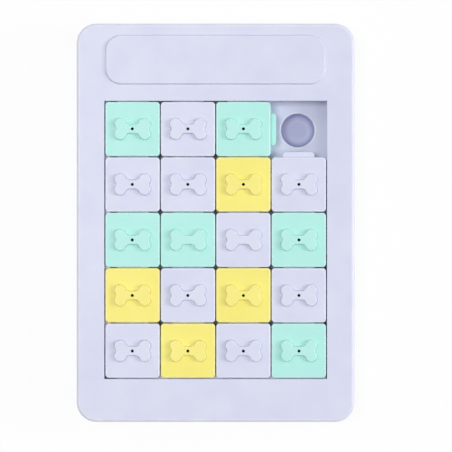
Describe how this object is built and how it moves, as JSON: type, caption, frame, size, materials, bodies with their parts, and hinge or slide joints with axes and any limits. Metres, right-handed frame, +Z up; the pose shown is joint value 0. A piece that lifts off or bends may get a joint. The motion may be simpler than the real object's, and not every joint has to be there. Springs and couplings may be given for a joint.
{
  "type": "pet puzzle board",
  "caption": "Sliding-tile treat puzzle for pets: square tiles with bone-shaped knobs interlock by tongue and groove and slide over round treat cups in a framed tray.",
  "frame": {"origin": "on the table under the middle of the board's outline", "axes": "+Y from the foot of the board to the plaque at its head, +X to the right, +Z up"},
  "size_m": [0.21, 0.3008, 0.0302],
  "materials": {
    "lavender_plastic": "satin moulded",
    "mint_plastic": "satin moulded",
    "yellow_plastic": "satin moulded",
    "foot_rubber": "matte",
    "screw_steel": "zinc plated"
  },
  "bodies": {
    "board": {"base_tray": "lavender_plastic", "top_frame": "lavender_plastic", "frame_screws": "screw_steel", "foot_head_left": "foot_rubber", "foot_head_right": "foot_rubber", "foot_tail_left": "foot_rubber", "foot_tail_right": "foot_rubber"},
    "tile_r1c1": {"tile_r1c1": "mint_plastic"},
    "tile_r1c2": {"tile_r1c2": "lavender_plastic"},
    "tile_r1c3": {"tile_r1c3": "mint_plastic"},
    "tile_r2c1": {"tile_r2c1": "lavender_plastic"},
    "tile_r2c2": {"tile_r2c2": "lavender_plastic"},
    "tile_r2c3": {"tile_r2c3": "yellow_plastic"},
    "tile_r2c4": {"tile_r2c4": "lavender_plastic"},
    "tile_r3c1": {"tile_r3c1": "mint_plastic"},
    "tile_r3c2": {"tile_r3c2": "mint_plastic"},
    "tile_r3c3": {"tile_r3c3": "lavender_plastic"},
    "tile_r3c4": {"tile_r3c4": "mint_plastic"},
    "tile_r4c1": {"tile_r4c1": "yellow_plastic"},
    "tile_r4c2": {"tile_r4c2": "lavender_plastic"},
    "tile_r4c3": {"tile_r4c3": "yellow_plastic"},
    "tile_r4c4": {"tile_r4c4": "lavender_plastic"},
    "tile_r5c1": {"tile_r5c1": "lavender_plastic"},
    "tile_r5c2": {"tile_r5c2": "yellow_plastic"},
    "tile_r5c3": {"tile_r5c3": "lavender_plastic"},
    "tile_r5c4": {"tile_r5c4": "mint_plastic"}
  },
  "joints": [
    {"name": "tile_r1c1_slide", "type": "slide", "parent": "board", "child": "tile_r1c1", "axis": [1, 0, 0], "range_m": [-0.00065, 0.00065]},
    {"name": "tile_r1c2_slide", "type": "slide", "parent": "board", "child": "tile_r1c2", "axis": [1, 0, 0], "range_m": [-0.00065, 0.00065]},
    {"name": "tile_r1c3_slide", "type": "slide", "parent": "board", "child": "tile_r1c3", "axis": [1, 0, 0], "range_m": [0, 0.0418]},
    {"name": "tile_r2c1_slide", "type": "slide", "parent": "board", "child": "tile_r2c1", "axis": [1, 0, 0], "range_m": [-0.00065, 0.00065]},
    {"name": "tile_r2c2_slide", "type": "slide", "parent": "board", "child": "tile_r2c2", "axis": [1, 0, 0], "range_m": [-0.00065, 0.00065]},
    {"name": "tile_r2c3_slide", "type": "slide", "parent": "board", "child": "tile_r2c3", "axis": [1, 0, 0], "range_m": [-0.00065, 0.00065]},
    {"name": "tile_r2c4_slide", "type": "slide", "parent": "board", "child": "tile_r2c4", "axis": [0, -1, 0], "range_m": [-0.0418, 0]},
    {"name": "tile_r3c1_slide", "type": "slide", "parent": "board", "child": "tile_r3c1", "axis": [1, 0, 0], "range_m": [-0.00065, 0.00065]},
    {"name": "tile_r3c2_slide", "type": "slide", "parent": "board", "child": "tile_r3c2", "axis": [1, 0, 0], "range_m": [-0.00065, 0.00065]},
    {"name": "tile_r3c3_slide", "type": "slide", "parent": "board", "child": "tile_r3c3", "axis": [1, 0, 0], "range_m": [-0.00065, 0.00065]},
    {"name": "tile_r3c4_slide", "type": "slide", "parent": "board", "child": "tile_r3c4", "axis": [1, 0, 0], "range_m": [-0.00065, 0.00065]},
    {"name": "tile_r4c1_slide", "type": "slide", "parent": "board", "child": "tile_r4c1", "axis": [1, 0, 0], "range_m": [-0.00065, 0.00065]},
    {"name": "tile_r4c2_slide", "type": "slide", "parent": "board", "child": "tile_r4c2", "axis": [1, 0, 0], "range_m": [-0.00065, 0.00065]},
    {"name": "tile_r4c3_slide", "type": "slide", "parent": "board", "child": "tile_r4c3", "axis": [1, 0, 0], "range_m": [-0.00065, 0.00065]},
    {"name": "tile_r4c4_slide", "type": "slide", "parent": "board", "child": "tile_r4c4", "axis": [1, 0, 0], "range_m": [-0.00065, 0.00065]},
    {"name": "tile_r5c1_slide", "type": "slide", "parent": "board", "child": "tile_r5c1", "axis": [1, 0, 0], "range_m": [-0.00065, 0.00065]},
    {"name": "tile_r5c2_slide", "type": "slide", "parent": "board", "child": "tile_r5c2", "axis": [1, 0, 0], "range_m": [-0.00065, 0.00065]},
    {"name": "tile_r5c3_slide", "type": "slide", "parent": "board", "child": "tile_r5c3", "axis": [1, 0, 0], "range_m": [-0.00065, 0.00065]},
    {"name": "tile_r5c4_slide", "type": "slide", "parent": "board", "child": "tile_r5c4", "axis": [1, 0, 0], "range_m": [-0.00065, 0.00065]}
  ]
}
